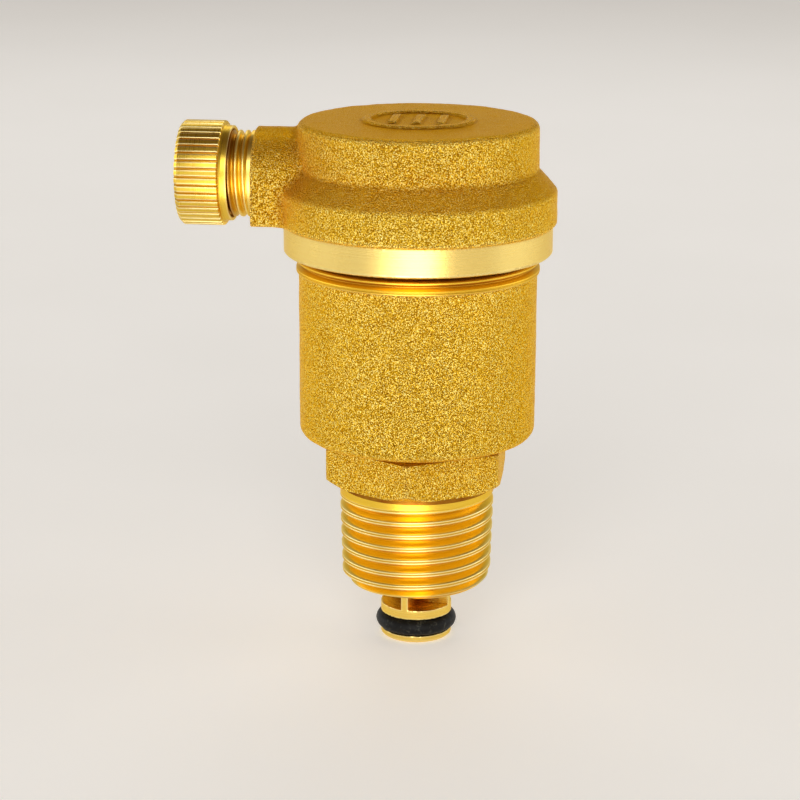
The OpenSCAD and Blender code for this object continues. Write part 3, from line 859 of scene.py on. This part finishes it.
def mark_distance(x, y, z, r):
    """The raised ring and three bars on the top."""
    half_width, edge = 0.55, 0.18
    ring_r, bar_spacing, bar_half_length = 6.85, 3.2, 3.2
    over_top = np.maximum(z - MARK_TOP + edge, 0)
    mark = np.hypot(np.maximum(np.abs(r - ring_r) - half_width + edge, 0), over_top) - edge
    for bar_x in (-bar_spacing, 0.0, bar_spacing):
        over_side = np.maximum(np.abs(x - bar_x) - half_width + edge, 0)
        over_end = np.maximum(np.abs(y) - bar_half_length + edge, 0)
        mark = np.minimum(mark, np.sqrt(over_side ** 2 + over_end ** 2 + over_top ** 2) - edge)
    return np.maximum(mark, 48.2 - z)


def bonnet():
    outside = profile_distance(BONNET_OUTSIDE, r_max=20.5, z_min=30.5, z_max=50.5,
                               segments=10)
    band = profile_distance(BONNET_BAND, r_max=20.5, z_min=30.5, z_max=50.5)
    bore = profile_distance(BONNET_BORE, r_max=20.5, z_min=29.0, z_max=50.5)

    def distance(points):
        x, y, z = points.T
        r = np.hypot(x, y)
        solid = smooth_min(outside(r, z), boss_distance(x, y, z), 1.15)
        solid = smooth_min(solid, mark_distance(x, y, z, r), 0.35)
        # unevenness of the casting, faded out at its machined ends
        weight = np.clip((z - 35.9) / 0.8, 0, 1) * np.clip((x + 21.2) / 0.6, 0, 1)
        weight = weight * (r > 15.7) \
            + weight * (r <= 15.7) * np.clip((z - 46.8) / 0.5, 0, 1)
        solid = solid - weight * cast_relief(points, broad_shift=7.0, fine_shift=3.0)
        # flat machined underside of the cast part, and the turned band
        solid = np.maximum(solid, BONNET_BASE - z)
        solid = np.minimum(solid, band(r, z))
        solid = np.maximum(solid, -bore(r, z))
        # stepped hole for the nozzle: radius, and the x where it stops
        outlet_r = np.hypot(y, z - OUTLET_Z)
        for hole_r, stop_x in ((4.6, -16.1), (2.95, -8.0)):
            solid = np.maximum(solid, -np.maximum(outlet_r - hole_r, x - stop_x))
        return solid

    vertices, quads = contour(distance, (-22.0, -18.9, 31.1), (18.9, 18.9, 49.8), step=0.22)
    x, y, z = vertices[quads].mean(1).T
    r = np.hypot(x, y)
    machined = (z < 35.44) & (r < 18.06) & (x > -18.3)
    machined &= ~((x < -16) & (np.abs(y) < 6.9) & (z > 35.3))
    machined |= (r < 15.65) & (z < 38.3)
    machined |= (r < 13.65) & (z < 46.3)
    end_face = x < -BOSS_X + 0.03
    return make_object("bonnet_casting", vertices, quads, [M_CAST, M_BAND, M_OUTLET],
                       np.where(end_face, 2, np.where(machined, 1, 0)), smooth_angle=40)


# ---------------------------------------------------------- nozzle and cap
# sections as (radius, distance from the main axis, rounding)
NOZZLE_SECTION = [
    (1.2, NOZZLE_END, 0.15), (1.2, 12.95, 0.05), (2.2, 12.9, 0.05), (2.2, 11.4, 0.1),
    (2.7, 11.4, 0.05), (2.9, 11.6, 0.05), (2.9, 16.2, 0.1), (4.4, 16.2, 0.05),
    (4.55, 16.35, 0.05), (4.55, 21.61, 0.0), (5.78, 21.61, 0.08),
    (NOZZLE_THREAD_R, NOZZLE_THREAD_START, 0.0)]


def nozzle():
    theta = np.linspace(0, TAU, 241)

    def blank(z):
        return np.minimum(NOZZLE_THREAD_R, NOZZLE_THREAD_R - np.clip(z - 28.1, 0, 9) * 0.9)

    thread = thread_rows(theta, first_z=22.95, pitch=1.0, turns=range(-2, 8),
                         z_low=NOZZLE_THREAD_START, z_high=NOZZLE_END, blank=blank,
                         depth=0.54, crest_width=0.15, flank=math.radians(29),
                         fade=lambda z: np.clip((z - 22.05) / 0.7, 0, 1), root_width=0.1)
    profile, _ = join_thread(thread, columns(NOZZLE_SECTION, len(theta)),
                             [corner[2] for corner in NOZZLE_SECTION])
    return swept_object("outlet_nozzle", profile, theta, M_SPIGOT, 40, on_outlet=True)


# one rib of the knurl, as (angle in rib spacings, share of full height):
# groove, flank, rounded corner, flat top, and back down
RIB = np.array([
    (-0.5, 0.0), (-0.455, 0.03), (-0.415, 0.30), (-0.365, 0.82), (-0.325, 0.965),
    (-0.27, 1.0), (-0.12, 1.0), (0.12, 1.0), (0.27, 1.0), (0.325, 0.965),
    (0.365, 0.82), (0.415, 0.30), (0.455, 0.03)])


def cap():
    count, rib_r, rib_depth = 40, 7.02, 0.36
    spacing = TAU / count
    flat_half = 0.27 * spacing
    theta = np.append(np.add.outer(np.arange(count), RIB[:, 0]), count - 0.5) * spacing
    angle = np.append(np.tile(RIB[:, 0], count), -0.5) * spacing
    height = np.append(np.tile(RIB[:, 1], count), 0.0)
    # dividing by the cosine keeps each rib's top flat
    rib = (rib_r - rib_depth * (1 - height)) * math.cos(flat_half) \
        / np.cos(np.clip(angle, -flat_half, flat_half))
    section = [
        (5.9, 30.22, 0.15), (5.9, 25.0, 0.05), (6.02, 24.85, 0.05), (6.36, 24.85, 0.08),
        (6.38, 25.60, 0.12), (6.50, 25.90, 0.04), (rib - 0.12, 25.92, 0.05),
        (rib, 26.06, 0.07), (rib, 31.30, 0.12), (rib - 0.42, 31.76, 0.10),
        (6.0, CAP_END, 0.0), (3.2, CAP_END, 0.0), (0.001, CAP_END, 0.0),
        (0.001, 30.22, 0.0)]
    profile, _ = fillet(columns(section, len(theta)), [corner[2] for corner in section])
    return swept_object("outlet_cap", profile, theta, M_CAP, 33, on_outlet=True)


# ------------------------------------------------- plunger, bush and spring
# sections as (radius, z, rounding)
PLUNGER_OUTSIDE = [
    (0, -22.9, 0), (4.62, -22.9, 0.05), (4.88, -22.66, 0.08), (4.88, -22.0, 0.10),
    (3.28, -22.0, 0.15), (3.28, -19.55, 0.15), (4.9, -19.55, 0.10), (4.9, -7.78, 0.1),
    (5.9, -7.78, 0.08), (5.9, FLANGE_TOP, 0.12), (4.2, FLANGE_TOP, 0.1), (4.2, -5.3, 0.12),
    (0, -5.3, 0)]
PLUNGER_BORE = [
    (0, -18.2, 0), (3.3, -18.2, 0.2), (3.3, -5.45, 0.02), (3.5, -5.2, 0), (3.5, -4.0, 0),
    (0, -4.0, 0)]
BUSH_SECTION = [
    (6.2, -14.45, 0.08), (7.1, -14.45, 0.08), (7.38, -14.17, 0.05), (7.38, -4.85, 0.1),
    (6.2, -4.85, 0.1), (6.2, -7.8, 0.0), (5.0, -7.8, 0.1), (5.0, -12.85, 0.1)]


def plunger():
    outside = profile_distance(PLUNGER_OUTSIDE, r_max=7.5, z_min=-24.0, z_max=-4.0, step=0.03)
    bore = profile_distance(PLUNGER_BORE, r_max=7.5, z_min=-24.0, z_max=-3.0, step=0.03)
    vane_angle, vane_half = math.radians(76.5), 0.5
    window_low, window_high = -18.2, -13.5

    def distance(points):
        x, y, z = points.T
        r = np.hypot(x, y)
        # windows between four vanes that cross on the axis
        vanes = np.full(len(points), 9.0)
        for k in range(2):
            angle = vane_angle + k * math.pi / 2
            across = np.abs(-math.sin(angle) * x + math.cos(angle) * y)
            vanes = np.minimum(vanes, across - vane_half)
        webs = np.maximum(vanes, z - window_high)
        solid = np.maximum(outside(r, z), -np.maximum(bore(r, z), -webs))
        window = np.maximum(np.maximum(window_low - z, z - window_high), -vanes)
        return smooth_max(solid, -window, 0.12)

    vertices, quads = contour(distance, (-6.3, -6.3, -23.3), (6.3, 6.3, -4.9), step=0.13)
    return make_object("plunger_body", vertices, quads, [M_CAGE], smooth_angle=40)


def seal_ring():
    """The plunger's sealing ring, with the faint parting line of its mould."""
    turns, section_r, seal_z = 200, 1.13, -20.8
    ring_r = 11.12 / 2 - section_r
    angle = np.linspace(0, TAU, 40, endpoint=False)
    radius = section_r + 0.02 * np.exp(-(np.sin(angle) / 0.07) ** 2)
    section = np.stack([ring_r + radius * np.cos(angle), seal_z + radius * np.sin(angle)], -1)
    return swept_object("plunger_seal", np.repeat(section[None], turns + 1, 0),
                        np.linspace(0, TAU, turns + 1), M_BLACK, 60)


def guide_bush():
    """The bush round the plunger, seen from below."""
    theta = np.linspace(0, TAU, 241)
    profile, _ = fillet(columns(BUSH_SECTION, len(theta)),
                        [corner[2] for corner in BUSH_SECTION], segments=5)
    return swept_object("guide_bush", profile, theta, M_TURNED, 38)


def spring():
    """Round wire wound on a helix between the flange and its upper seat."""
    turns, steps, sides = 6.5, 72, 14
    coil_r, wire_r, inset = 5.0, 0.35, 0.38
    z_low, z_high = FLANGE_TOP + inset, SPRING_SEAT_Z - inset
    angle = np.linspace(0, TAU * turns, int(turns * steps) + 1)
    cosine, sine = np.cos(angle), np.sin(angle)
    z = z_low + (z_high - z_low) * angle / angle[-1]
    centre = np.stack([coil_r * cosine, coil_r * sine, z], -1)
    tangent = np.stack([-coil_r * sine, coil_r * cosine,
                        np.full_like(angle, (z_high - z_low) / angle[-1])], -1)
    tangent /= np.linalg.norm(tangent, axis=1, keepdims=True)
    outward = np.stack([cosine, sine, 0 * angle], -1)
    upward = np.cross(outward, tangent)
    around = np.linspace(0, TAU, sides, endpoint=False)
    vertices = centre[:, None] + wire_r * (np.cos(around)[None, :, None] * outward[:, None]
                                           + np.sin(around)[None, :, None] * upward[:, None])
    last = len(angle) - 1
    faces = [(i * sides + j, i * sides + (j + 1) % sides,
              (i + 1) * sides + (j + 1) % sides, (i + 1) * sides + j)
             for i in range(last) for j in range(sides)]
    faces += [tuple(range(sides))[::-1], tuple(last * sides + k for k in range(sides))]
    obj = make_object("plunger_spring_wire", vertices.reshape(-1, 3), faces, [M_STEEL],
                      smooth_angle=50)
    edit = bmesh.new()
    edit.from_mesh(obj.data)
    bmesh.ops.recalc_face_normals(edit, faces=edit.faces)
    edit.to_mesh(obj.data)
    edit.free()
    return obj


# ---------------------------------------------------------------- assembly
def place_part(obj, body, node):
    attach(obj, body)
    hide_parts(node)
    return obj


place_part(chamber(), "housing", "float_chamber")
place_part(bonnet(), "housing", "bonnet")
place_part(nozzle(), "housing", "vent_nozzle")
place_part(cap(), "cap", "vent_cap")
place_part(plunger(), "plunger", "shutoff_plunger")
place_part(seal_ring(), "plunger", "plunger_o_ring")
place_part(guide_bush(), "housing", "plunger_guide")
coil = place_part(spring(), "housing", "plunger_spring")
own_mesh(coil)

# CAD pieces that keep their own meshes, with their material slots
SLOT_MATERIALS = {"grey_rubber": M_GREY, "stainless": M_STEEL, "black_rubber": M_BLACK,
                  "lever_plastic": M_LEVER, "float_plastic": M_FLOAT}
for name, slot in (
        ("bonnet_seal_ring", "grey_rubber"), ("nozzle_seat", "stainless"),
        ("cap_washer", "grey_rubber"), ("lever_bracket", "stainless"),
        ("bracket_screws", "stainless"), ("lever", "lever_plastic"),
        ("lever_pin", "stainless"), ("lever_pin_clip", "stainless"),
        ("seal_pad", "black_rubber"), ("link_pin", "stainless"),
        ("float_shell", "float_plastic"), ("float_lid", "float_plastic"),
        ("float_hanger", "stainless"), ("hanger_rivet", "stainless")):
    part = CAD_NODES[name]
    if not part.data.materials:
        part.data.materials.append(SLOT_MATERIALS[slot])
    for material_slot in part.material_slots:
        material_slot.material = SLOT_MATERIALS[slot]


# ------------------------------------------------------------------- stage
def floor():
    mat = new_shader("floor")
    place = mat.coords()
    broad = mat.noise(place, scale=0.02, detail=3.0, rough=0.5)
    fine = mat.noise(place, scale=0.9, detail=2.0, rough=0.5)
    color = mat.ramp(broad, (0.3, (0.85, 0.845, 0.83)), (0.7, (0.88, 0.875, 0.865)))
    bump = mat.bump(fine, strength=0.15, distance=0.00004)
    material = mat.principled(**{
        "Base Color": color, "Roughness": 0.62, "Specular IOR Level": 0.25, "Normal": bump,
        "Emission Color": (1.0, 0.985, 0.96, 1.0), "Emission Strength": 0.30})
    sides, radius = 96, 3000.0
    vertices = [(0, 0, FLOOR_Z)] + [
        (radius * math.cos(TAU * i / sides), radius * math.sin(TAU * i / sides), FLOOR_Z)
        for i in range(sides)]
    faces = [(0, i + 1, (i + 1) % sides + 1) for i in range(sides)]
    make_object("studio_floor", vertices, faces, [material])


floor()

CAMERA_SIDE = math.radians(6.1)       # lights are set from this way, right of -Y


def direction(azimuth, elevation):
    """Unit vector from the object; azimuth in degrees right of CAMERA_SIDE."""
    turn, lift = CAMERA_SIDE + math.radians(azimuth), math.radians(elevation)
    return Vector((math.sin(turn) * math.cos(lift), -math.cos(turn) * math.cos(lift),
                   math.sin(lift)))


def soft_box(name, azimuth, elevation, distance, width, height, radiance):
    """A soft rectangular light that faces the object's middle."""
    light = bpy.data.lights.new(name, "AREA")
    light.shape, light.size, light.size_y = "RECTANGLE", width / 1000, height / 1000
    light.energy = radiance * math.pi * width * height * 1e-6
    light.color = (1, 1, 1)
    obj = bpy.data.objects.new(name, light)
    aim = Vector((0, 0, 20))
    place = (aim + direction(azimuth, elevation) * distance) * MM
    obj.location = place
    obj.rotation_mode = "QUATERNION"
    obj.rotation_quaternion = (aim * MM - place).to_track_quat("-Z", "Y")
    obj.visible_camera = False
    bpy.context.scene.collection.objects.link(obj)


soft_box("front_box", azimuth=-5, elevation=33, distance=560, width=270, height=250,
         radiance=3.1)
soft_box("side_left", azimuth=-98, elevation=8, distance=620, width=700, height=300,
         radiance=1.15)
soft_box("right_box", azimuth=94, elevation=9, distance=560, width=480, height=300,
         radiance=1.4)
soft_box("back_box", azimuth=178, elevation=36, distance=700, width=620, height=260,
         radiance=1.3)


def reflection_only(obj):
    """Stages a card that only reflections show."""
    obj.visible_camera = False
    obj.visible_shadow = False
    obj.visible_diffuse = False
    obj.visible_transmission = False


def upright_card(name, azimuth, distance, width, lift, top, tone):
    """An upright glowing card, from lift above the floor to height top."""
    mat = new_shader(name)
    material = mat.finish(mat.add("ShaderNodeEmission", {"Color": (*tone, 1),
                                                         "Strength": 1.0}))
    centre = direction(azimuth, 0) * distance
    side = Vector((-centre.y, centre.x, 0)).normalized() * width / 2
    left, right = centre - side, centre + side
    bottom = FLOOR_Z + lift
    vertices = [(left.x, left.y, bottom), (right.x, right.y, bottom),
                (right.x, right.y, top), (left.x, left.y, top)]
    reflection_only(make_object(name, vertices, [(0, 1, 2, 3)], [material]))


upright_card("studio_flag", azimuth=38, distance=190, width=150, lift=0.5, top=60,
             tone=(0.80, 0.74, 0.64))
upright_card("studio_card", azimuth=84, distance=190, width=110, lift=0.5, top=34,
             tone=(1.02, 1.0, 0.95))
upright_card("front_card", azimuth=1, distance=170, width=92, lift=2.0, top=40,
             tone=(3.8, 3.75, 3.6))


def floor_card():
    """The bright part of the table in front, as the brass reflects it."""
    # limits of the glow: slopes are side / ahead, distances are ahead
    left_slope, left_fade, right_slope, right_fade = -0.80, 0.42, 0.30, 0.16
    near_start, near_fade, far_end, far_fade = 48.0, 14.0, 300.0, 80.0
    glow = 4.6
    mat = new_shader("floor_card")
    x, y, _ = mat.split(mat.coords())
    forward, right = direction(0, 0), direction(90, 0)
    ahead = x * forward.x + y * forward.y
    side = x * right.x + y * right.y
    slope = side / ahead.at_least(1.0)
    from_left = ((slope - left_slope) / left_fade).clamped()
    from_right = ((right_slope - slope) / right_fade).clamped()
    from_near = ((ahead - near_start) / near_fade).clamped()
    from_far = ((far_end - ahead) / far_fade).clamped()
    share = (from_left * from_right) * (from_near * from_far)
    emission = mat.add("ShaderNodeEmission", {"Color": (1.0, 0.99, 0.97, 1),
                                              "Strength": share * glow})
    clear = mat.add("ShaderNodeBsdfTransparent")
    # only its upper side shines
    back = mat.add("ShaderNodeNewGeometry", output="Backfacing")
    visible = (share * (1.0 - back)).clamped()
    material = mat.finish(mat.add("ShaderNodeMixShader", {0: visible, 1: clear, 2: emission}))
    vertices = []
    for ahead_by, right_by in ((46, -38), (46, 15), (far_end, 92), (far_end, -245)):
        point = forward * ahead_by + right * right_by
        vertices.append((point.x, point.y, FLOOR_Z + 0.3))
    reflection_only(make_object("floor_card", vertices, [(0, 3, 2, 1)], [material]))


floor_card()


def map_range(shader, value, low, high, to_low=0.0, to_high=1.0):
    return shader.add("ShaderNodeMapRange", {0: value, 1: low, 2: high, 3: to_low, 4: to_high})


def studio_world():
    """A pale room that darkens overhead, brighter on the camera's side;
    the camera itself sees a plain backdrop."""
    pale = (0.80, 0.80, 0.79)
    world = bpy.data.worlds.new("studio")
    bpy.context.scene.world = world
    room = Shader(world, output="ShaderNodeOutputWorld")
    toward = room.add("ShaderNodeTexCoord", output="Generated")
    height = map_range(room, room.split(toward)[2], low=-1, high=1)
    color = room.ramp(height, (0.0, pale), (0.50, pale), (0.60, (0.62, 0.61, 0.59)),
                      (0.72, (0.44, 0.42, 0.39)), (0.86, (0.17, 0.13, 0.085)),
                      (1.0, (0.10, 0.065, 0.035)))
    facing = room.add("ShaderNodeVectorMath", {0: toward, 1: direction(0, 0)},
                      output="Value", operation="DOT_PRODUCT")
    strength = map_range(room, facing, low=-1.0, high=1.0, to_low=0.95, to_high=1.35)
    surroundings = room.add("ShaderNodeBackground", {0: color, 1: strength})
    backdrop = room.add("ShaderNodeBackground", {0: (*pale, 1), 1: 1.0})
    seen = room.add("ShaderNodeLightPath", output="Is Camera Ray")
    room.finish(room.add("ShaderNodeMixShader", {0: seen, 1: surroundings, 2: backdrop}))


studio_world()


# ------------------------------------------------------------------ camera
def add_camera():
    yaw, pitch, roll = math.radians(6.5), math.radians(15.81), math.radians(0.20)
    sideways, distance, height = -2.36, 307.1, 97.6     # from the origin, in the yawed frame
    lens = bpy.data.cameras.new("camera")
    lens.lens, lens.sensor_width = 105.26, 36.0
    lens.clip_start, lens.clip_end = 0.01, 20.0
    camera = bpy.data.objects.new("camera", lens)
    camera.location = Vector((sideways * math.cos(yaw) + distance * math.sin(yaw),
                              sideways * math.sin(yaw) - distance * math.cos(yaw),
                              height)) * MM
    forward = Vector((-math.sin(yaw) * math.cos(pitch), math.cos(yaw) * math.cos(pitch),
                      -math.sin(pitch)))
    level = Vector((math.cos(yaw), math.sin(yaw), 0))
    upward = level.cross(forward)
    right = level * math.cos(roll) + upward * math.sin(roll)
    top = upward * math.cos(roll) - level * math.sin(roll)
    camera.rotation_mode = "QUATERNION"
    camera.rotation_quaternion = Matrix((right, top, -forward)).transposed().to_quaternion()
    bpy.context.scene.collection.objects.link(camera)
    bpy.context.scene.camera = camera


add_camera()
bpy.context.scene.view_settings.view_transform = "Standard"
